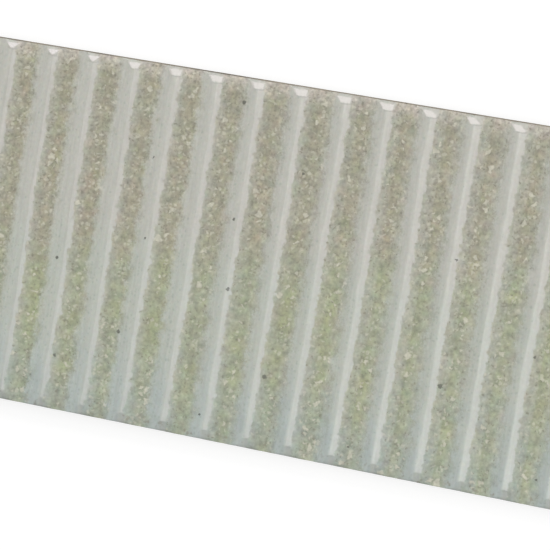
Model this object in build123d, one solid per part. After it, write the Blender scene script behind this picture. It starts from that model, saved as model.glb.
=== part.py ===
# Ribbed wall tile, pressed and fired as one piece of glazed clay.
# Lengths are in millimetres. X runs along the tile, Y across it along the ribs,
# and Z up from the bedding face on the back to the crests of the ribs.
import math
import os

from build123d import *

# The tile as a whole
tile_length = 300.0
tile_width = 100.0
tile_thickness = 11.0  # from the back to the crests

# Ribs across the face, a wave of crests and grooves in tangent arcs
rib_pitch = 12.0  # wanted spacing, adjusted so that whole ribs fill the length
rib_height = 1.8
crest_radius = 4.4

# Long edges, where each rib ends in a slope down to the side of the tile
edge_run = 3.4  # how far from the side a crest begins to fall
edge_slope = 17.0  # degrees down from level
edge_radius = 1.2  # rounding between the slope and the side

# Short ends, which cut the wave at the bottom of a groove
end_arris_radius = 0.8

# Keying channels along the back, which hold the bedding mortar
key_count = 4
key_pitch = 22.0
key_mouth = 9.0
key_depth = 0.8
key_draft = 30.0  # degrees that each channel side leans out from upright

# How far the two crossing blanks run past each other, so that no faces coincide
blank_overrun = 5.0

# The wave: the two arcs meet on the flank, at the same slope
rib_count = round(tile_length / rib_pitch)
wave_pitch = tile_length / rib_count
flank_slope = 2 * math.atan(2 * rib_height / wave_pitch)
groove_radius = wave_pitch / 2 / math.sin(flank_slope) - crest_radius
groove_floor = tile_thickness - rib_height


def groove_point(center_x, angle):
    """A point on the groove arc, at an angle from its bottom."""
    return (
        center_x + groove_radius * math.sin(angle),
        groove_floor + groove_radius * (1 - math.cos(angle)),
    )


def wave_line():
    """The top of the cross-section, from groove bottom to groove bottom."""
    half_length = tile_length / 2
    start = ThreePointArc(
        groove_point(-half_length, 0),
        groove_point(-half_length, flank_slope / 2),
        groove_point(-half_length, flank_slope),
    )
    wave = Curve() + start
    for rib in range(rib_count):
        groove_x = -half_length + rib * wave_pitch
        crest_x = groove_x + wave_pitch / 2
        next_groove_x = groove_x + wave_pitch
        rise = groove_point(groove_x, flank_slope)
        fall = groove_point(next_groove_x, -flank_slope)
        wave += ThreePointArc(rise, (crest_x, tile_thickness), fall)
        if rib < rib_count - 1:
            next_rise = groove_point(next_groove_x, flank_slope)
            wave += ThreePointArc(fall, (next_groove_x, groove_floor), next_rise)
    finish = ThreePointArc(
        groove_point(half_length, -flank_slope),
        groove_point(half_length, -flank_slope / 2),
        groove_point(half_length, 0),
    )
    return wave + finish


def ribbed_blank():
    """The ribbed section, drawn lengthwise and run across the tile."""
    half_length = tile_length / 2
    sides = Polyline(
        (half_length, groove_floor),
        (half_length, -blank_overrun),
        (-half_length, -blank_overrun),
        (-half_length, groove_floor),
    )
    section = make_face(wave_line() + sides)
    corners = section.vertices().group_by(Axis.X)
    arrises = [end.sort_by(Axis.Y)[-1] for end in (corners[0], corners[-1])]
    section = fillet(arrises, end_arris_radius)
    return extrude(Plane.XZ * section, tile_width / 2 + blank_overrun, both=True)


def key_channel():
    """One keying channel of the back, drawn across the tile."""
    lean = key_depth * math.tan(math.radians(key_draft))
    half_mouth = key_mouth / 2
    outline = Polyline(
        (-half_mouth - lean, -key_depth),
        (half_mouth + lean, -key_depth),
        (half_mouth - lean, key_depth),
        (-half_mouth + lean, key_depth),
        close=True,
    )
    return make_face(outline)


def edged_blank():
    """The cross section: long edges sloped like a gable above, keying channels below."""
    half_width = tile_width / 2
    rise = math.tan(math.radians(edge_slope))
    side_height = tile_thickness - edge_run * rise
    outline = Polyline(
        (-half_width, 0),
        (half_width, 0),
        (half_width, side_height),
        (0, side_height + half_width * rise),
        (-half_width, side_height),
        close=True,
    )
    section = make_face(outline)
    arrises = section.vertices().group_by(Axis.Y)[1]
    section = fillet(arrises, edge_radius)
    section -= GridLocations(key_pitch, 0, key_count, 1) * key_channel()
    return extrude(Plane.YZ * section, tile_length / 2 + blank_overrun, both=True)


glazed_tile = ribbed_blank() & edged_blank()

os.makedirs("parts", exist_ok=True)
export_step(glazed_tile, "parts/glazed_tile.step")
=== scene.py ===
import math

import bmesh
import bpy
from mathutils import Matrix, Vector, noise


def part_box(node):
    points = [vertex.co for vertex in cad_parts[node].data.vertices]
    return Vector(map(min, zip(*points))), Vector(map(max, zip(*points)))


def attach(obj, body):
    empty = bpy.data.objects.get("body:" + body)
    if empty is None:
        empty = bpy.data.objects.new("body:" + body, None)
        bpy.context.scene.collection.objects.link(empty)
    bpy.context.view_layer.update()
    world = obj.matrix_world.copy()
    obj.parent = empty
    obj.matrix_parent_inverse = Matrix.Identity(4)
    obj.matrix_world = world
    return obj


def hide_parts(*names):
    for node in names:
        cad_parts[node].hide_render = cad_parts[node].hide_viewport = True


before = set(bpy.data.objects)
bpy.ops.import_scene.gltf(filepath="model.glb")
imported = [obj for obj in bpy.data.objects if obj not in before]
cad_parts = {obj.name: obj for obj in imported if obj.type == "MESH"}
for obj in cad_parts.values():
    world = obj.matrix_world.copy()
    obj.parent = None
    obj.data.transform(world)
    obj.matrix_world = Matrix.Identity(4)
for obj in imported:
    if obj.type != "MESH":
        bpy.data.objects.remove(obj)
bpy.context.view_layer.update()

# Lengths are in metres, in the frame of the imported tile: X along the tile,
# Y along the ribs and Z up from the back. Materials count in millimetres.
mm = 0.001
tileLow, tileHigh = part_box("glazed_tile")
tileLength = tileHigh.x - tileLow.x
tileWidth = tileHigh.y - tileLow.y
tileTop = tileHigh.z
print("frame loaded, tile in mm:", [round(side / mm, 1) for side in tileHigh - tileLow])

tileForm = {
    "ribPitch": 12.0 * mm,
    "ribHeight": 1.8 * mm,
    "crestRadius": 4.4 * mm,
    "edgeRun": 2.7 * mm,  # how far from the long sides the sloped end of a rib begins
    "edgeSlope": math.radians(17),
    "edgeRadius": 1.2 * mm,  # rounding between the sloped rib ends and the sides
    "endStep": 0.2 * mm,  # small step down from the crest to its sloped end
    "endLean": 0.2,  # how much the upper rib ends lean to the left
    "endLeanStart": 0.6 * mm,  # the lean begins this far left of a crest
    "endLeanReach": 3.0 * mm,
    "flatStart": -66.0 * mm,  # ribs left of here end in a point
    "flatReach": 24.0 * mm,  # and this much further right in a flat facet
    "flatLeast": 0.1,
    "endArris": 0.8 * mm,  # rounding along the short ends
    "softCrease": 0.16 * mm,  # glaze rounds off the crease at each rib end
    "keyCount": 4,
    "keyPitch": 22.0 * mm,
    "keyMouth": 9.0 * mm,
    "keyDepth": 0.8 * mm,
    "keyDraft": math.radians(30),
    "footBevel": 0.35 * mm,  # worn edge round the back
    "stepAlong": 0.5 * mm,  # mesh spacing along the tile
    "stepAcross": 1.2 * mm,  # mesh spacing along a rib
    "stepOnSlope": 0.2 * mm,  # and on the sloped rib ends
    "slopeMargin": 0.4 * mm,  # the fine spacing begins this much further in
    "edgeSteps": 8,  # mesh steps round the long edges
    "arrisSteps": 6,
    "wallRows": 3,
    "sharpAngle": math.radians(50),
}

# uneven firing: how far the face strays, and over which lengths along and across the tile
unevenness = {
    "drift": {"depth": 0.5 * mm, "span": (21 * mm, 38 * mm), "seed": 4.2},  # rib lines, sideways
    "driftFine": {"depth": 0.175 * mm, "span": (9 * mm, 11 * mm), "seed": 9.7},
    "sink": {"depth": 0.04 * mm, "span": (16 * mm, 24 * mm), "seed": 1.3},  # crests, downwards
    "ripple": {"depth": 0.065 * mm, "span": (3.2 * mm, 5.5 * mm), "seed": 6.1},  # waves in the glaze
    "rippleFine": {"depth": 0.02925 * mm, "span": (1.7 * mm, 2.6 * mm), "seed": 2.9},
    "endStep": {"depth": 0.5, "span": (9 * mm, 1.0), "seed": 7.7},  # as a share of the step
}


def strayAt(kind, x, y):
    wave = unevenness[kind]
    return wave["depth"] * noise.noise(Vector((x / wave["span"][0], y / wave["span"][1], wave["seed"])))


def ribDriftAt(x, y):
    return strayAt("drift", x, y) + strayAt("driftFine", x, y)


def waveHeight(across):
    pitch = tileForm["ribPitch"]
    crestRadius = tileForm["crestRadius"]
    flank = 2 * math.atan(2 * tileForm["ribHeight"] / pitch)
    grooveRadius = pitch / 2 / math.sin(flank) - crestRadius
    aside = abs(across)
    if aside < crestRadius * math.sin(flank):
        return tileTop - crestRadius + math.sqrt(crestRadius**2 - aside**2)
    fromGroove = pitch / 2 - aside
    grooveFloor = tileTop - tileForm["ribHeight"]
    return grooveFloor + grooveRadius - math.sqrt(grooveRadius**2 - fromGroove**2)


def flatEnds(x):
    # the left-hand ribs end in a point, the others in a flat facet
    return min(1.0, max(tileForm["flatLeast"], (x - tileForm["flatStart"]) / tileForm["flatReach"]))


def endStepAt(x):
    return tileForm["endStep"] * flatEnds(x) * (1 + strayAt("endStep", x, 0.0))


def acrossRib(x, y):
    # distance from the nearest crest, to the right
    pitch = tileForm["ribPitch"]
    return (x - ribDriftAt(x, y) + tileLength / 2) % pitch - pitch / 2


def ribEndHeight(x, y):
    # the slope of the rib ends, carried on steeply above the step, and its rounding into the side
    radius = tileForm["edgeRadius"]
    run = tileForm["edgeRun"]
    slope = tileForm["edgeSlope"]
    top = tileTop - endStepAt(x)
    if y > 0:
        leftOf = -tileForm["endLeanStart"] - acrossRib(x, y)
        leftOf = min(tileForm["endLeanReach"], max(0.0, leftOf))
        top -= tileForm["endLean"] * flatEnds(x) * leftOf
    fromSide = max(0.0, tileWidth / 2 - abs(y))
    if fromSide > run:
        return top + (fromSide - run)
    if fromSide > radius * (1 - math.sin(slope)):
        return top - (run - fromSide) * math.tan(slope)
    centre = top - (run - radius) * math.tan(slope) - radius / math.cos(slope)
    return centre + math.sqrt(radius**2 - (radius - fromSide) ** 2)


def arrisHeight(fromEnd):
    radius = tileForm["endArris"]
    floor = tileTop - tileForm["ribHeight"]
    if fromEnd > radius:
        return tileTop
    return floor - radius + math.sqrt(radius**2 - (radius - fromEnd) ** 2)


def softMin(first, second, reach):
    overlap = max(0.0, reach - abs(first - second)) / reach
    return min(first, second) - overlap**2 * reach / 4


def faceHeight(x, y):
    height = softMin(waveHeight(acrossRib(x, y)), ribEndHeight(x, y), tileForm["softCrease"])
    # the face only ever sinks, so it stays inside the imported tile
    height -= unevenness["sink"]["depth"] + strayAt("sink", x, y)
    height -= unevenness["ripple"]["depth"] + strayAt("ripple", x, y) + strayAt("rippleFine", x, y)
    return min(height, arrisHeight(tileLength / 2 - abs(x)))


def spread(start, end, step):
    count = max(1, round((end - start) / step))
    return [start + (end - start) * index / count for index in range(count + 1)]


def roundOff(start, radius, steps):
    # places round a quarter turn that begins here
    turns = [math.pi / 2 * step / steps for step in range(1, steps + 1)]
    return [start + radius * math.sin(turn) for turn in turns]


def linesAlong():
    inner = tileLength / 2 - tileForm["endArris"]
    ending = roundOff(inner, tileForm["endArris"], tileForm["arrisSteps"])
    middle = spread(-inner, inner, tileForm["stepAlong"])
    return [-x for x in reversed(ending)] + middle + ending


def linesAcross():
    inner = tileWidth / 2 - tileForm["edgeRun"] - tileForm["slopeMargin"]
    outer = tileWidth / 2 - tileForm["edgeRadius"]
    middle = spread(-inner, inner, tileForm["stepAcross"])
    sloped = spread(inner, outer, tileForm["stepOnSlope"])
    ending = sloped[1:] + roundOff(outer, tileForm["edgeRadius"], tileForm["edgeSteps"])
    return [-y for y in reversed(ending)] + middle + ending


def backPoints():
    # across the back from the +Y side to the -Y side, in and out of each keying channel
    bevel = tileForm["footBevel"]
    half = tileForm["keyMouth"] / 2
    depth = tileForm["keyDepth"]
    lean = depth * math.tan(tileForm["keyDraft"])
    points = [(tileWidth / 2 - bevel, 0.0)]
    for key in range(tileForm["keyCount"]):
        centre = ((tileForm["keyCount"] - 1) / 2 - key) * tileForm["keyPitch"]
        points.append((centre + half, 0.0))
        points.append((centre + half - lean, depth))
        points.append((centre - half + lean, depth))
        points.append((centre - half, 0.0))
    points.append((bevel - tileWidth / 2, 0.0))
    return points


def tileSection(x, across, back):
    # one closed loop: over the face, down one side, along the back and up the other side
    bevel = tileForm["footBevel"]
    rows = tileForm["wallRows"]
    loop = [(y, faceHeight(x, y)) for y in across]
    farTop = loop[-1][1]
    nearTop = loop[0][1]
    wall = [bevel + (farTop - bevel) * (rows - row) / rows for row in range(1, rows + 1)]
    loop += [(tileWidth / 2, z) for z in wall]
    lift = max(0.0, bevel - (tileLength / 2 - abs(x)))  # the worn edge at the short ends
    loop += [(y, max(z, lift)) for y, z in back]
    wall = [bevel + (nearTop - bevel) * row / rows for row in range(rows)]
    loop += [(-tileWidth / 2, z) for z in wall]
    return loop


def buildTileMesh():
    along = linesAlong()
    across = linesAcross()
    back = backPoints()
    vertices = []
    drifts = []
    slopes = []
    for x in along:
        section = tileSection(x, across, back)
        vertices += [(x, y, z) for y, z in section]
        drifts += [ribDriftAt(x, y) / mm for y, z in section]
        slopes += [(waveHeight(acrossRib(x, y)) - ribEndHeight(x, y)) / mm for y, z in section]
    ring = len(section)
    faces = []
    for row in range(len(along) - 1):
        for place in range(ring):
            here = row * ring + place
            beside = row * ring + (place + 1) % ring
            faces.append((here, here + ring, beside + ring, beside))
    last = (len(along) - 1) * ring
    faces.append(tuple(range(ring)))
    faces.append(tuple(reversed(range(last, last + ring))))
    mesh = bpy.data.meshes.new("ribbedTile")
    mesh.from_pydata(vertices, [], faces)
    drift = mesh.attributes.new("ribDrift", "FLOAT", "POINT")
    drift.data.foreach_set("value", drifts)
    slope = mesh.attributes.new("ribEnd", "FLOAT", "POINT")  # above 0 on the sloped rib ends
    slope.data.foreach_set("value", slopes)

    shaper = bmesh.new()
    shaper.from_mesh(mesh)
    ends = [face for face in shaper.faces if len(face.verts) > 4]
    bmesh.ops.triangulate(shaper, faces=ends, ngon_method="BEAUTY")
    shaper.to_mesh(mesh)
    shaper.free()
    mesh.polygons.foreach_set("use_smooth", [True] * len(mesh.polygons))
    mesh.set_sharp_from_angle(angle=tileForm["sharpAngle"])
    return mesh


def tint(red, green, blue):
    # a colour as a paint card gives it, 0 to 255, as the linear value that the nodes take
    linear = []
    for level in (red, green, blue):
        share = level / 255
        linear.append(share / 12.92 if share <= 0.04045 else ((share + 0.055) / 1.055) ** 2.4)
    return (*linear, 1.0)


def feed(tree, value, socket):
    if isinstance(value, bpy.types.NodeSocket):
        tree.links.new(value, socket)
    else:
        socket.default_value = value


def calc(tree, operation, *values):
    node = tree.nodes.new("ShaderNodeMath")
    node.operation = operation
    for value, socket in zip(values, node.inputs):
        feed(tree, value, socket)
    return node.outputs[0]


def calcColour(tree, operation, *values):
    # the same for colours and places, one part at a time
    node = tree.nodes.new("ShaderNodeVectorMath")
    node.operation = operation
    for value, socket in zip(values, node.inputs):
        feed(tree, value, socket)
    return node.outputs[0]


def product(tree, *values):
    result = values[0]
    for value in values[1:]:
        result = calc(tree, "MULTIPLY", result, value)
    return result


def between(tree, share, atNone, atFull):
    # a measure that goes from one value to the other as the share goes from 0 to 1
    return calc(tree, "MULTIPLY_ADD", share, atFull - atNone, atNone)


def without(tree, share):
    return calc(tree, "SUBTRACT", 1.0, share)


def ramp(tree, value, start, end):
    # 0 at start and 1 at end, whichever is larger
    node = tree.nodes.new("ShaderNodeMapRange")
    node.interpolation_type = "SMOOTHSTEP"
    feed(tree, value, node.inputs["Value"])
    feed(tree, start, node.inputs["From Min"])
    feed(tree, end, node.inputs["From Max"])
    return node.outputs["Result"]


def stir(tree, share, under, over):
    node = tree.nodes.new("ShaderNodeMix")
    node.data_type = "RGBA"
    feed(tree, share, node.inputs[0])
    feed(tree, under, node.inputs[6])
    feed(tree, over, node.inputs[7])
    return node.outputs[2]


def shade(tree, colour, factor):
    node = tree.nodes.new("ShaderNodeVectorMath")
    node.operation = "SCALE"
    feed(tree, colour, node.inputs[0])
    feed(tree, factor, node.inputs["Scale"])
    return node.outputs[0]


def lighten(tree, colour, share, amount):
    # brighter by this amount where share is 1, and darker where the amount is below 0
    return shade(tree, colour, calc(tree, "MULTIPLY_ADD", share, amount, 1.0))


def noiseNode(tree, place, size, detail, seed):
    node = tree.nodes.new("ShaderNodeTexNoise")
    node.noise_dimensions = "4D"
    feed(tree, place, node.inputs["Vector"])
    node.inputs["W"].default_value = seed
    node.inputs["Scale"].default_value = 1 / size
    node.inputs["Detail"].default_value = detail
    return node.outputs


def cloud(tree, place, size, detail, seed):
    # soft mottling with features of about this size, around 0
    return calc(tree, "SUBTRACT", noiseNode(tree, place, size, detail, seed)[0], 0.5)


def wander(tree, place, size, seed):
    # three separate mottlings at once, each around 0
    colours = noiseNode(tree, place, size, 2.0, seed)["Color"]
    return calcColour(tree, "SUBTRACT", colours, (0.5, 0.5, 0.5))


def stray(tree, value, reach, place, size, detail, seed):
    # a measure that wanders about its own value
    return calc(tree, "MULTIPLY_ADD", cloud(tree, place, size, detail, seed), reach, value)


def bend(tree, place, size, reach, seed):
    # pushes places about, so that round grains get ragged outlines
    return calcColour(tree, "MULTIPLY_ADD", wander(tree, place, size, seed), (reach, reach, reach), place)


def mottle(tree, colour, place, size, reach, seed):
    # lets red, green and blue stray by their own shares
    factor = calcColour(tree, "MULTIPLY_ADD", wander(tree, place, size, seed), reach, (1.0, 1.0, 1.0))
    return calcColour(tree, "MULTIPLY", colour, factor)


def cellNoise(tree, place, spacing, feature="F1"):
    cells = tree.nodes.new("ShaderNodeTexVoronoi")
    cells.voronoi_dimensions = "2D"
    cells.feature = feature
    feed(tree, place, cells.inputs["Vector"])
    cells.inputs["Scale"].default_value = 1 / spacing
    return cells.outputs


def shards(tree, place, spacing, share, inset, soft):
    # angular crystals: cells drawn in from their borders, present for this share of cells
    draw = tree.nodes.new("ShaderNodeSeparateColor")
    feed(tree, cellNoise(tree, place, spacing)["Color"], draw.inputs[0])
    border = cellNoise(tree, place, spacing, "DISTANCE_TO_EDGE")["Distance"]
    margin = calc(tree, "MULTIPLY_ADD", draw.outputs[1], inset / spacing, 0.03)
    inside = ramp(tree, border, margin, calc(tree, "ADD", margin, soft / spacing))
    present = calc(tree, "LESS_THAN", draw.outputs[0], share)
    return calc(tree, "MULTIPLY", inside, present)


def grains(tree, place, spacing, share, least, most, soft):
    # scattered grains: one to a cell, present for this share of cells, radii in millimetres
    cells = cellNoise(tree, place, spacing)
    draw = tree.nodes.new("ShaderNodeSeparateColor")
    feed(tree, cells["Color"], draw.inputs[0])
    radius = calc(tree, "MULTIPLY_ADD", draw.outputs[1], (most - least) / spacing, least / spacing)
    nearness = calc(tree, "DIVIDE", cells["Distance"], radius)
    inside = ramp(tree, nearness, 1.0 + soft, 1.0 - soft)
    present = calc(tree, "LESS_THAN", draw.outputs[0], share)
    return calc(tree, "MULTIPLY", inside, present)


def placeInMillimetres(tree):
    spot = tree.nodes.new("ShaderNodeTexCoord")
    return shade(tree, spot.outputs["Object"], 1 / mm)


def startMaterial(name):
    material = bpy.data.materials.new(name)
    material.use_nodes = True
    tree = material.node_tree
    return material, tree, tree.nodes["Principled BSDF"]


def relief(tree, height, depth, before=None):
    node = tree.nodes.new("ShaderNodeBump")
    node.inputs["Strength"].default_value = 1.0
    node.inputs["Distance"].default_value = depth
    feed(tree, height, node.inputs["Height"])
    if before is not None:
        feed(tree, before, node.inputs["Normal"])
    return node.outputs[0]


clayFinish = {
    "body": tint(146, 138, 124),
    "smoke": tint(116, 109, 98),
    "grog": tint(166, 154, 137),
    "pit": tint(92, 82, 72),
    "roughness": 0.88,
    "grainDepth": 0.06 * mm,
    "facingDown": -0.2,  # faces that point down further than this are bare
    "keyMargin": 1.01,  # and so are those up to the channel floors, with this much to spare
}


def clayColour(tree, place):
    smoke = ramp(tree, cloud(tree, place, size=26, detail=3, seed=3.0), -0.02, 0.16)
    colour = stir(tree, smoke, clayFinish["body"], clayFinish["smoke"])
    grog = ramp(tree, cloud(tree, place, size=0.7, detail=2, seed=5.0), 0.10, 0.2)
    colour = stir(tree, grog, colour, clayFinish["grog"])
    pit = ramp(tree, cloud(tree, place, size=0.9, detail=3, seed=8.0), -0.13, -0.24)
    return stir(tree, pit, colour, clayFinish["pit"])


def makeBareClay():
    material, tree, shader = startMaterial("bareClay")
    place = placeInMillimetres(tree)
    feed(tree, clayColour(tree, place), shader.inputs["Base Color"])
    shader.inputs["Roughness"].default_value = clayFinish["roughness"]
    grain = cloud(tree, place, size=0.8, detail=4, seed=8.0)
    feed(tree, relief(tree, grain, clayFinish["grainDepth"]), shader.inputs["Normal"])
    return material


halfWidth = tileWidth / mm / 2
halfPitch = tileForm["ribPitch"] / mm / 2

# lines that repeat with every rib, in mm to the right of a crest
ribLines = {
    "seam": 4.0,  # where counting changes from one rib to the next
    "crystalRow": 4.9,  # the crystals in each groove
    "grooveShadeRow": 4.85,  # where the painted groove shade is deepest, with the least painted light
}


def fromLine(tree, ribLine, line):
    offset = calc(tree, "SUBTRACT", ribLine, ribLines[line])
    return calc(tree, "ABSOLUTE", calc(tree, "WRAP", offset, halfPitch, -halfPitch))


def readAttribute(tree, name):
    node = tree.nodes.new("ShaderNodeAttribute")
    node.attribute_name = name
    return node.outputs["Fac"]


def glazeSpot(tree):
    # where a point lies on the tile, in millimetres, along its own rib line
    place = placeInMillimetres(tree)
    axes = tree.nodes.new("ShaderNodeSeparateXYZ")
    feed(tree, place, axes.inputs[0])
    ribLine = calc(tree, "SUBTRACT", axes.outputs[0], readAttribute(tree, "ribDrift"))
    seam = ribLines["seam"]
    return {
        "place": place,
        "alongTile": axes.outputs[0],
        "alongRib": axes.outputs[1],
        "up": axes.outputs[2],
        "fromCrest": calc(tree, "WRAP", ribLine, seam, seam - 2 * halfPitch),
        "fromRow": fromLine(tree, ribLine, "crystalRow"),
        "fromGrooveShade": fromLine(tree, ribLine, "grooveShadeRow"),
        "ribEnd": readAttribute(tree, "ribEnd"),
    }


# where the glaze is smooth and pale, in mm from a crest
smoothFinish = {
    "left": -4.95,
    "leftStray": 5.0,  # how far the left border wanders
    "leftFray": 3.6,
    "leftSoft": 1.4,
    "right": 1.22,
    "rightStray": 1.9,
    "rightFray": 2.4,
    "rightSoft": 0.2,
    "rightPull": 0.5,  # how far the right border draws in at the lower rib ends
    "paleSpread": 1.0,  # how much further left the pale glaze reaches on the left-hand ribs
    "paleStep": 0.35,  # share of the paleness that comes in one step, the rest fades in
}


def smoothGlaze(tree, spot):
    # how smooth and how pale the glaze is: it ran clear of the crests, with ragged borders. The paleness is
    # partly the glaze's own colour and partly a painted reflection of a broad dim light on the band left of
    # each strip
    place = spot["place"]
    left = smoothFinish["left"]
    right = smoothFinish["right"]
    soft = smoothFinish["rightSoft"]
    fromCrest = spot["fromCrest"]
    leftSide = stray(tree, fromCrest, smoothFinish["leftStray"], place, size=3.0, detail=2, seed=1.0)
    leftSide = stray(tree, leftSide, smoothFinish["leftFray"], place, size=0.5, detail=2, seed=1.5)
    rightSide = stray(tree, fromCrest, smoothFinish["rightStray"], place, size=3.2, detail=1, seed=2.0)
    rightSide = stray(tree, rightSide, smoothFinish["rightFray"], place, size=1.0, detail=2, seed=2.5)
    lowerEnd = stray(tree, spot["alongRib"], 9.0, place, size=5.0, detail=2, seed=3.0)
    pulled = ramp(tree, lowerEnd, 8.0 - halfWidth, 2.0 - halfWidth)
    rightSide = calc(tree, "MULTIPLY_ADD", pulled, smoothFinish["rightPull"], rightSide)
    rightBorder = ramp(tree, rightSide, right + soft, right - soft)
    gloss = product(tree, ramp(tree, leftSide, left, left + smoothFinish["leftSoft"]), rightBorder)
    leftRibs = ramp(tree, spot["alongTile"], -8.0, -28.0)
    paleSide = calc(tree, "MULTIPLY_ADD", leftRibs, smoothFinish["paleSpread"], leftSide)
    fade = product(tree, ramp(tree, paleSide, left - 0.3, left + 3.1), 1.0 - smoothFinish["paleStep"])
    step = ramp(tree, paleSide, left + 0.7, left + 2.3)
    pale = calc(tree, "MULTIPLY_ADD", step, smoothFinish["paleStep"], fade)
    return gloss, product(tree, pale, rightBorder)


groundFinish = {
    "upper": tint(143, 140, 120),  # brownish grey of the upper half
    "tanPatch": tint(172, 150, 132),
    "tanStrength": 0.28,
    "olivePatch": tint(143, 145, 114),
    "oliveStrength": 0.5,
    "lower": tint(143, 147, 124),  # olive of the lower half
    "greenPatch": tint(147, 152, 107),
    "greenStrength": 0.45,
    "pool": tint(144, 152, 141),  # greyer where the glaze ran thick at the lower edge
    "poolStrength": 0.38,
    "flankLight": tint(168, 168, 157),  # painted light: a paler colour on the flanks, leaving the groove bottoms darker as painted shade
    "flankLightPool": tint(163, 171, 165),
    "flankLightStrength": 0.68,
    "flankLightGain": 0.25,  # more of that painted light on the right flanks of the right-hand ribs
    "thinEdge": tint(193, 184, 175),
    "thinStrength": 0.62,
    "dipHeight": 2.5,  # where the two grounds meet at mid length, in mm above the middle
    "dipLean": 0.125,
    "dipSoft": 7.0,
    "dipStray": 26.0,
}


def groundColour(tree, spot, pool):
    # brownish grey above the dip line, olive below it, greyer where the glaze pooled
    place = spot["place"]
    dip = groundFinish["dipHeight"]
    soft = groundFinish["dipSoft"]
    dipLine = calc(tree, "MULTIPLY_ADD", spot["alongTile"], -groundFinish["dipLean"], spot["alongRib"])
    dipLine = stray(tree, dipLine, groundFinish["dipStray"], place, size=9, detail=3, seed=4.0)
    upper = ramp(tree, dipLine, dip - soft, dip + soft)
    colour = stir(tree, upper, groundFinish["lower"], groundFinish["upper"])
    tan = ramp(tree, cloud(tree, place, size=4, detail=3, seed=5.0), 0.03, 0.2)
    tan = product(tree, tan, upper, groundFinish["tanStrength"])
    colour = stir(tree, tan, colour, groundFinish["tanPatch"])
    olive = ramp(tree, cloud(tree, place, size=3.2, detail=3, seed=5.5), 0.02, 0.18)
    olive = product(tree, olive, upper, groundFinish["oliveStrength"])
    colour = stir(tree, olive, colour, groundFinish["olivePatch"])
    green = cloud(tree, place, size=14, detail=1, seed=6.5)
    green = ramp(tree, stray(tree, green, 0.6, place, size=4.5, detail=3, seed=6.0), -0.1, 0.2)
    green = product(tree, green, without(tree, upper), groundFinish["greenStrength"])
    colour = stir(tree, green, colour, groundFinish["greenPatch"])
    colour = stir(tree, product(tree, pool, groundFinish["poolStrength"]), colour, groundFinish["pool"])
    # painted light on the flanks, fading towards the groove bottoms, which stay darker as painted shade
    flankLightColour = stir(tree, pool, groundFinish["flankLight"], groundFinish["flankLightPool"])
    flankLight = product(tree, ramp(tree, spot["fromGrooveShade"], 0.3, 4.0), groundFinish["flankLightStrength"])
    fromCrest = spot["fromCrest"]
    rightFlank = product(tree, ramp(tree, fromCrest, 1.2, 2.6), ramp(tree, fromCrest, 5.2, 3.2))
    rightRibs = ramp(tree, spot["alongTile"], 0.0, 45.0)
    rightFlank = product(tree, rightFlank, rightRibs, groundFinish["flankLightGain"])
    colour = stir(tree, calc(tree, "ADD", flankLight, rightFlank), colour, flankLightColour)
    edgeLine = stray(tree, spot["alongRib"], 2.0, place, size=1.6, detail=2, seed=16.0)
    thin = ramp(tree, edgeLine, halfWidth - 6.0, halfWidth + 0.5)
    return stir(tree, product(tree, thin, groundFinish["thinStrength"]), colour, groundFinish["thinEdge"])


crystalFinish = {
    "mottling": (0.24, 0.18, 0.28),  # how far red, green and blue stray
    "blotchDepth": (0.45, 1.20),  # light and dark blotches, away from the crystal row and on it
    "blotchLevel": 1.02,
    "dark": tint(110, 107, 89),
    "darkStrength": 0.6,
    "darkShare": (0.04, 0.36),
    "darkHalves": (0.6, 1.1),  # factor on that share in the lower half and in the upper half
    "cream": tint(195, 192, 175),
    "creamStrength": 0.68,
    "creamShare": (0.03, 0.41),
    "smallStrength": 0.42,
    "smallShare": (0.06, 0.28),
    "height": 1.5,  # how far the cream crystals stand above the fine grain
}


def addCrystals(tree, spot, colour):
    # dark grains and cream crystals, thickest along the row in each groove
    place = spot["place"]
    near = ramp(tree, spot["fromRow"], 5.0, 1.0)
    colour = mottle(tree, colour, place, size=2.2, reach=crystalFinish["mottling"], seed=10.0)
    depth = between(tree, near, *crystalFinish["blotchDepth"])
    blotch = cloud(tree, place, size=1.6, detail=3, seed=10.5)
    colour = shade(tree, colour, calc(tree, "MULTIPLY_ADD", blotch, depth, crystalFinish["blotchLevel"]))
    upper = ramp(tree, spot["alongRib"], -10.0, 10.0)
    share = between(tree, near, *crystalFinish["darkShare"])
    share = product(tree, share, between(tree, upper, *crystalFinish["darkHalves"]))
    bent = bend(tree, place, size=0.9, reach=1.6, seed=12.0)
    dark = grains(tree, bent, spacing=0.95, share=share, least=0.12, most=0.34, soft=0.8)
    colour = stir(tree, product(tree, dark, crystalFinish["darkStrength"]), colour, crystalFinish["dark"])
    cluster = ramp(tree, cloud(tree, place, size=4.5, detail=2, seed=12.5), -0.08, 0.12)
    row = ramp(tree, spot["fromRow"], 2.5, 0.3)
    share = between(tree, product(tree, row, cluster), *crystalFinish["creamShare"])
    bent = bend(tree, place, size=0.7, reach=1.1, seed=13.0)
    cream = shards(tree, bent, spacing=1.9, share=share, inset=0.5, soft=0.34)
    colour = stir(tree, product(tree, cream, crystalFinish["creamStrength"]), colour, crystalFinish["cream"])
    share = between(tree, near, *crystalFinish["smallShare"])
    bent = bend(tree, place, size=0.6, reach=0.6, seed=14.0)
    small = shards(tree, bent, spacing=1.15, share=share, inset=0.25, soft=0.26)
    colour = stir(tree, product(tree, small, crystalFinish["smallStrength"]), colour, crystalFinish["cream"])
    grain = cloud(tree, place, size=0.6, detail=3, seed=9.0)
    return colour, calc(tree, "MULTIPLY_ADD", cream, crystalFinish["height"], grain)


# the crest colours are partly the glaze's own and partly a painted reflection on the band left of each strip
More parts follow.
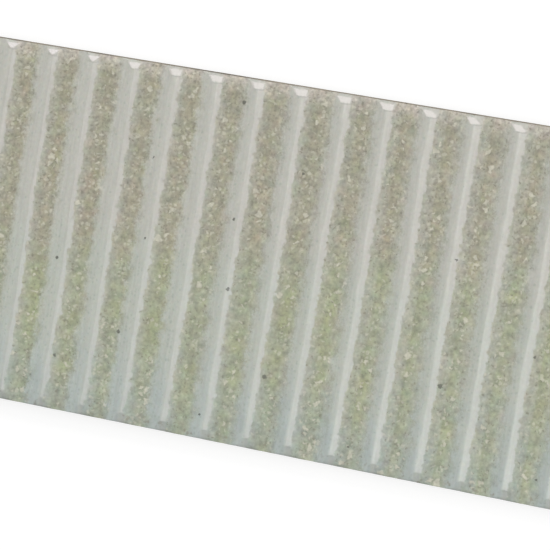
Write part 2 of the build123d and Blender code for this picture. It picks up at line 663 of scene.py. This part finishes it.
crestFinish = {
    "upper": tint(186, 186, 177),
    "lower": tint(182, 186, 176),
    "pool": tint(173, 182, 178),
    "poolOnRight": 0.4,  # less of that on the right halves of the crests
    "turn": (0.915, 0.89, 0.89, 1.0),  # what is left of the colour on those right halves
    "turnLower": (0.95, 0.93, 0.945, 1.0),
    "teal": tint(161, 173, 155),
    "tealStrength": 0.7,
    "mottling": (0.14, 0.11, 0.15),
    "streaks": 0.24,
    "streakStretch": (1.0, 0.12, 1.0),
    "tealSpot": tint(150, 162, 151),  # scattered over the lower crests
    "spotStrength": 0.45,
    "spotShare": (0.4, 0.12),  # in the lower half and in the upper half
    "drift": 0.0004,  # with each mm along the tile, the right of a crest pales and the left darkens
    "topGain": 0.06,  # paler close to the upper rib ends
    "lowGain": 0.08,  # and close to the lower ones, on the right-hand ribs
}


def crestColour(tree, spot, pale, pool, upper):
    place = spot["place"]
    fromCrest = spot["fromCrest"]
    colour = stir(tree, upper, crestFinish["lower"], crestFinish["upper"])
    pooled = between(tree, ramp(tree, fromCrest, -0.2, -1.4), crestFinish["poolOnRight"], 1.0)
    colour = stir(tree, product(tree, pool, pooled), colour, crestFinish["pool"])
    turn = stir(tree, upper, crestFinish["turnLower"], crestFinish["turn"])
    turn = stir(tree, ramp(tree, fromCrest, -0.9, 0.6), (1.0, 1.0, 1.0, 1.0), turn)
    colour = calcColour(tree, "MULTIPLY", colour, turn)
    teal = ramp(tree, cloud(tree, place, size=4.5, detail=3, seed=15.0), -0.02, 0.2)
    teal = product(tree, teal, crestFinish["tealStrength"], without(tree, pale))
    colour = stir(tree, teal, colour, crestFinish["teal"])
    colour = mottle(tree, colour, place, size=1.2, reach=crestFinish["mottling"], seed=15.5)
    drawn = calcColour(tree, "MULTIPLY", place, crestFinish["streakStretch"])
    streak = cloud(tree, drawn, size=0.7, detail=2, seed=15.8)
    colour = lighten(tree, colour, streak, crestFinish["streaks"])
    share = between(tree, upper, *crestFinish["spotShare"])
    share = product(tree, share, ramp(tree, fromCrest, 0.0, -1.6))
    bent = bend(tree, place, size=0.9, reach=0.9, seed=20.0)
    spots = grains(tree, bent, spacing=1.15, share=share, least=0.14, most=0.36, soft=0.7)
    colour = stir(tree, product(tree, spots, crestFinish["spotStrength"]), colour, crestFinish["tealSpot"])
    side = between(tree, ramp(tree, fromCrest, -1.8, 0.2), -1.0, 1.0)
    colour = lighten(tree, colour, product(tree, spot["alongTile"], side), crestFinish["drift"])
    topEnd = product(tree, ramp(tree, spot["alongRib"], 39.0, 46.0), ramp(tree, fromCrest, -1.4, -0.4))
    colour = lighten(tree, colour, topEnd, crestFinish["topGain"])
    lowEnd = product(tree, ramp(tree, spot["alongRib"], -26.0, -44.0), ramp(tree, fromCrest, -1.6, -0.6))
    rightRibs = ramp(tree, spot["alongTile"], -30.0, 30.0)
    lowEnd = product(tree, lowEnd, rightRibs, ramp(tree, spot["ribEnd"], 0.1, 0.0))
    return lighten(tree, colour, lowEnd, crestFinish["lowGain"])


# the pale upper rib ends are a painted highlight, with the lamp's real reflection off their glossy slope on
# top
ribEndFinish = {
    "flat": tint(203, 198, 192),
    "pointed": tint(208, 202, 199),  # on the left-hand ribs
    "strength": 0.9,
    "depth": 2.7,  # where the pale rib ends stop, in mm from the upper side
    "top": 1.05,  # and where they begin
    "topSlant": 0.8,  # how far their tops slant down to the right, on the right-hand ribs
    "left": -1.9,  # left and right borders where they stop, in mm from a crest
    "right": 0.85,
    "leftSlant": -0.85,  # how far those borders move with each mm further up
    "rightSlant": 0.1,
    "pointLeft": 1.5,  # the same borders on the pointed ends, as changes
    "pointRight": -1.1,
    "pointLeftSlant": -0.35,
    "pointRightSlant": 1.0,
    "soft": 0.15,
    "crease": -0.16,  # painted shade: the dark line below the upper rib ends, where the reflections leave a gap
    "lowerLeft": 0.06,  # painted light and shade: how much paler the lower rib ends are left of the crests, offsetting the shade of slopes facing away from the lamps, and darker on them
    "lowerCrest": -0.05,
}


def pointedRibs(tree, spot):
    return ramp(tree, spot["alongTile"], -38.0, -60.0)


def ribEndFacet(tree, spot):
    # the pale end of a rib at the upper edge, a painted highlight under the lamp's real reflection: it
    # narrows downwards, to a point on the left-hand ribs
    soft = ribEndFinish["soft"]
    fromCrest = spot["fromCrest"]
    depth = calc(tree, "SUBTRACT", halfWidth, spot["alongRib"])
    depth = stray(tree, depth, 0.6, spot["place"], size=1.6, detail=2, seed=16.0)
    above = calc(tree, "SUBTRACT", ribEndFinish["depth"], depth)
    pointed = pointedRibs(tree, spot)
    left = calc(tree, "MULTIPLY_ADD", above, ribEndFinish["leftSlant"], ribEndFinish["left"])
    change = calc(tree, "MULTIPLY_ADD", above, ribEndFinish["pointLeftSlant"], ribEndFinish["pointLeft"])
    left = calc(tree, "MULTIPLY_ADD", pointed, change, left)
    right = calc(tree, "MULTIPLY_ADD", above, ribEndFinish["rightSlant"], ribEndFinish["right"])
    change = calc(tree, "MULTIPLY_ADD", above, ribEndFinish["pointRightSlant"], ribEndFinish["pointRight"])
    right = calc(tree, "MULTIPLY_ADD", pointed, change, right)
    rightward = calc(tree, "MAXIMUM", calc(tree, "ADD", fromCrest, 0.8), 0.0)
    slant = product(tree, ramp(tree, spot["alongTile"], 22.0, 50.0), rightward, ribEndFinish["topSlant"])
    top = calc(tree, "ADD", slant, ribEndFinish["top"])
    facet = ramp(tree, calc(tree, "SUBTRACT", fromCrest, left), -soft, soft)
    facet = product(tree, facet, ramp(tree, calc(tree, "SUBTRACT", fromCrest, right), soft, -soft))
    facet = product(tree, facet, ramp(tree, calc(tree, "SUBTRACT", depth, top), -soft, 0.25))
    return product(tree, facet, ramp(tree, above, -0.1, 0.1))


def addRibEnds(tree, spot, colour, gloss, pale):
    # the sloped rib ends carry a painted highlight along the upper edge, under their real reflection, above
    # a thin painted dark line
    ribEnd = spot["ribEnd"]
    upper = ramp(tree, spot["alongRib"], 0.0, 1.0)
    # painted shade: a thin dark line below the upper rib ends
    crease = product(tree, ramp(tree, ribEnd, -0.5, -0.15), ramp(tree, ribEnd, 0.06, 0.0))
    crease = product(tree, crease, upper, ramp(tree, spot["fromCrest"], -2.0, -1.2), pale)
    colour = lighten(tree, colour, crease, ribEndFinish["crease"])
    # painted light left of the crests and painted shade on them, on the lower rib ends that face away from
    # the lamps
    lowerEnd = product(tree, ramp(tree, ribEnd, 0.0, 0.15), without(tree, upper), pale)
    onCrest = ramp(tree, spot["fromCrest"], -2.4, -1.2)
    change = between(tree, onCrest, ribEndFinish["lowerLeft"], ribEndFinish["lowerCrest"])
    colour = lighten(tree, colour, lowerEnd, change)
    facet = ribEndFacet(tree, spot)
    # painted highlight: the pale colour of the upper rib ends
    endColour = stir(tree, pointedRibs(tree, spot), ribEndFinish["flat"], ribEndFinish["pointed"])
    colour = stir(tree, product(tree, facet, ribEndFinish["strength"]), colour, endColour)
    onSlope = product(tree, ramp(tree, ribEnd, 0.0, 0.1), upper)
    dulled = product(tree, onSlope, without(tree, facet))
    gloss = calc(tree, "MAXIMUM", product(tree, gloss, without(tree, dulled)), facet)
    return colour, gloss


edgeFinish = {
    "hem": -0.04,  # darker where the glaze gathers along the lower edge
    "stain": tint(122, 113, 96),  # brown marks close to the lower edge
    "stainStrength": 0.5,
    "bareFrom": 0.42,  # the glaze stops between here and bareTo, in mm from the upper side
    "bareTo": 0.30,
    "hemHeight": 5.0,  # how far down the other sides it runs, in mm from the back
    "hemSoft": 0.4,
}


def addLowerHem(tree, spot, colour, poolLine):
    colour = lighten(tree, colour, ramp(tree, poolLine, -43.0, -47.0), edgeFinish["hem"])
    stain = ramp(tree, cloud(tree, spot["place"], size=1.6, detail=3, seed=21.0), 0.07, 0.18)
    nearEdge = ramp(tree, spot["alongRib"], -45.5, -49.0)
    stain = product(tree, stain, nearEdge, edgeFinish["stainStrength"])
    return stir(tree, stain, colour, edgeFinish["stain"])


def bareEdges(tree, spot):
    # the glaze stops at the arris along the upper edge and runs down the other sides
    edgeLine = stray(tree, spot["alongRib"], 0.35, spot["place"], size=2.2, detail=3, seed=17.5)
    upperLine = ramp(tree, edgeLine, halfWidth - edgeFinish["bareFrom"], halfWidth - edgeFinish["bareTo"])
    hem = stray(tree, spot["up"], 1.2, spot["place"], size=3.0, detail=3, seed=18.0)
    lowest = edgeFinish["hemHeight"]
    return calc(tree, "MAXIMUM", upperLine, ramp(tree, hem, lowest + edgeFinish["hemSoft"], lowest))


glazeSurface = {
    "grain": (0.6, 0.85),  # fine light and dark grain, away from the crystal row and on it
    "grainOnPale": 0.34,  # what is left of it on the pale glaze
    "grainBelow": 0.8,  # and in the lower half
    "grainAtEdge": 1.5,  # it is stronger close to the upper edge
    "speck": tint(66, 68, 58),
    "speckStrength": 0.8,
    "speckShare": 0.5,
    "glossRoughness": 0.035,
    "satinRoughness": 0.5,
    "indexOfRefraction": 1.58,
    "crystalDepth": 0.06 * mm,
    "rippleDepth": 0.03 * mm,
}


def addGrain(tree, spot, colour, pale, upper):
    depth = between(tree, ramp(tree, spot["fromRow"], 5.0, 1.0), *glazeSurface["grain"])
    depth = product(tree, depth, between(tree, pale, 1.0, glazeSurface["grainOnPale"]))
    depth = product(tree, depth, between(tree, upper, glazeSurface["grainBelow"], 1.0))
    nearEdge = ramp(tree, spot["alongRib"], halfWidth - 7.0, halfWidth - 1.0)
    depth = product(tree, depth, between(tree, nearEdge, 1.0, glazeSurface["grainAtEdge"]))
    return lighten(tree, colour, cloud(tree, spot["place"], size=0.8, detail=2, seed=11.0), depth)


def addSpecks(tree, spot, colour):
    bent = bend(tree, spot["place"], size=0.6, reach=1.0, seed=17.0)
    share = glazeSurface["speckShare"]
    speck = grains(tree, bent, spacing=23.0, share=share, least=0.28, most=0.6, soft=0.35)
    return stir(tree, product(tree, speck, glazeSurface["speckStrength"]), colour, glazeSurface["speck"])


def makeRakuGlaze():
    material, tree, shader = startMaterial("rakuGlaze")
    spot = glazeSpot(tree)
    place = spot["place"]
    gloss, pale = smoothGlaze(tree, spot)
    poolLine = stray(tree, spot["alongRib"], 40.0, place, size=7, detail=3, seed=7.0)
    pool = ramp(tree, poolLine, -20.0, -48.0)
    upper = ramp(tree, spot["alongRib"], -6.0, 10.0)
    ground, height = addCrystals(tree, spot, groundColour(tree, spot, pool))
    # the pale crests: partly the glaze's own colour, partly a painted reflection on the band left of each
    # strip
    colour = stir(tree, pale, ground, crestColour(tree, spot, pale, pool, upper))
    colour = addGrain(tree, spot, colour, pale, upper)
    colour = addLowerHem(tree, spot, colour, poolLine)
    colour, gloss = addRibEnds(tree, spot, colour, gloss, pale)
    colour = addSpecks(tree, spot, colour)
    bare = bareEdges(tree, spot)
    colour = stir(tree, bare, colour, clayColour(tree, place))
    feed(tree, colour, shader.inputs["Base Color"])

    roughness = between(tree, gloss, glazeSurface["satinRoughness"], glazeSurface["glossRoughness"])
    roughness = calc(tree, "MAXIMUM", roughness, product(tree, bare, clayFinish["roughness"]))
    feed(tree, roughness, shader.inputs["Roughness"])
    shader.inputs["IOR"].default_value = glazeSurface["indexOfRefraction"]

    height = product(tree, height, without(tree, gloss))
    normal = relief(tree, height, glazeSurface["crystalDepth"])
    ripple = cloud(tree, place, size=2.4, detail=1, seed=19.0)
    normal = relief(tree, ripple, glazeSurface["rippleDepth"], normal)
    feed(tree, normal, shader.inputs["Normal"])
    return material


def makeTile():
    mesh = buildTileMesh()
    mesh.materials.append(makeRakuGlaze())
    mesh.materials.append(makeBareClay())
    keyFloor = tileForm["keyDepth"] * clayFinish["keyMargin"]
    for face in mesh.polygons:
        if face.normal.z < clayFinish["facingDown"] or face.center.z < keyFloor:
            face.material_index = 1
    tile = bpy.data.objects.new("ribbedTile", mesh)
    bpy.context.collection.objects.link(tile)
    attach(tile, "root")
    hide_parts("glazed_tile")
    triangles = sum(len(face.vertices) - 2 for face in mesh.polygons)
    print("tile made:", triangles, "triangles")


studio = {
    "floorSize": 12.0,
    "floorColour": (0.4, 0.4, 0.4, 1.0),
    "floorGlow": 0.69,  # what the camera sees is lifted to white, the shadow stays
    "fill": 0.30,  # even light from all round
}

# soft panels: where the middle is, what they face, their two sides, and how bright they look
panels = {
    "ribPanel": {
        "middle": (0.13, -0.025, 0.71), "facing": (0.13, -0.025, 0.0), "sides": (0.84, 0.65), "glow": 1.55,
    },
    "wingPanel": {
        "middle": (0.95, -0.02, 0.62), "facing": (0.0, -0.02, 0.0), "sides": (0.6, 0.7), "glow": 1.6,
    },
    "endPanel": {
        "middle": (-0.575, 0.8, 1.025), "facing": (-0.575, 0.0, 1.025), "sides": (1.45, 0.95), "glow": 2.7,
    },
}


def seenDirectly(tree):
    path = tree.nodes.new("ShaderNodeLightPath")
    seen = calc(tree, "MAXIMUM", path.outputs["Is Camera Ray"], path.outputs["Is Glossy Ray"])
    return calc(tree, "MAXIMUM", seen, path.outputs["Is Transmission Ray"])


def makeFloor():
    mesh = bpy.data.meshes.new("floor")
    half = studio["floorSize"] / 2
    corners = [(-half, -half, 0), (half, -half, 0), (half, half, 0), (-half, half, 0)]
    mesh.from_pydata(corners, [], [(0, 1, 2, 3)])
    floor = bpy.data.objects.new("floor", mesh)
    bpy.context.collection.objects.link(floor)
    material, tree, shader = startMaterial("paleFloor")
    shader.inputs["Base Color"].default_value = studio["floorColour"]
    shader.inputs["Roughness"].default_value = 1.0
    shader.inputs["Specular IOR Level"].default_value = 0.0
    shader.inputs["Emission Color"].default_value = (1.0, 1.0, 1.0, 1.0)
    glow = calc(tree, "MULTIPLY", seenDirectly(tree), studio["floorGlow"])
    feed(tree, glow, shader.inputs["Emission Strength"])
    mesh.materials.append(material)
    print("floor made")


def makeLights():
    for name, panel in panels.items():
        lamp = bpy.data.lights.new(name, "AREA")
        lamp.shape = "RECTANGLE"
        lamp.size, lamp.size_y = panel["sides"]
        lamp.energy = panel["glow"] * math.pi * lamp.size * lamp.size_y
        light = bpy.data.objects.new(name, lamp)
        middle = Vector(panel["middle"])
        light.location = middle
        light.rotation_euler = (Vector(panel["facing"]) - middle).to_track_quat("-Z", "Y").to_euler()
        light.visible_camera = False
        bpy.context.collection.objects.link(light)
    world = bpy.data.worlds.new("studio")
    world.use_nodes = True
    tree = world.node_tree
    sky = tree.nodes["Background"]
    sky.inputs["Color"].default_value = (1.0, 1.0, 1.0, 1.0)
    glow = calc(tree, "MULTIPLY_ADD", seenDirectly(tree), 1.0 - studio["fill"], studio["fill"])
    feed(tree, glow, sky.inputs["Strength"])
    bpy.context.scene.world = world
    print("lights made:", len(panels), "panels")


view = {
    "place": (129.52 * mm, 38.5 * mm, 577.4 * mm),
    "aim": (0.57 * mm, -1.73 * mm, 11.0 * mm),
    "lean": math.radians(9.74),  # the picture's upright leans this far from the ribs
    "lens": 140.5,
    "sensor": 36.0,
    "nearest": 0.01,
    "furthest": 50.0,
}


def makeCamera():
    lens = bpy.data.cameras.new("camera")
    lens.lens = view["lens"]
    lens.sensor_width = view["sensor"]
    lens.clip_start = view["nearest"]
    lens.clip_end = view["furthest"]
    camera = bpy.data.objects.new("camera", lens)
    bpy.context.collection.objects.link(camera)
    place = Vector(view["place"])
    back = (place - Vector(view["aim"])).normalized()
    upright = Vector((-math.sin(view["lean"]), math.cos(view["lean"]), 0.0))
    right = upright.cross(back).normalized()
    upright = back.cross(right)
    turn = Matrix((right, upright, back)).transposed()
    camera.matrix_world = Matrix.Translation(place) @ turn.to_4x4()
    bpy.context.scene.camera = camera
    print("camera set")


bpy.context.scene.view_settings.view_transform = "Standard"
makeCamera()
makeTile()
makeFloor()
makeLights()
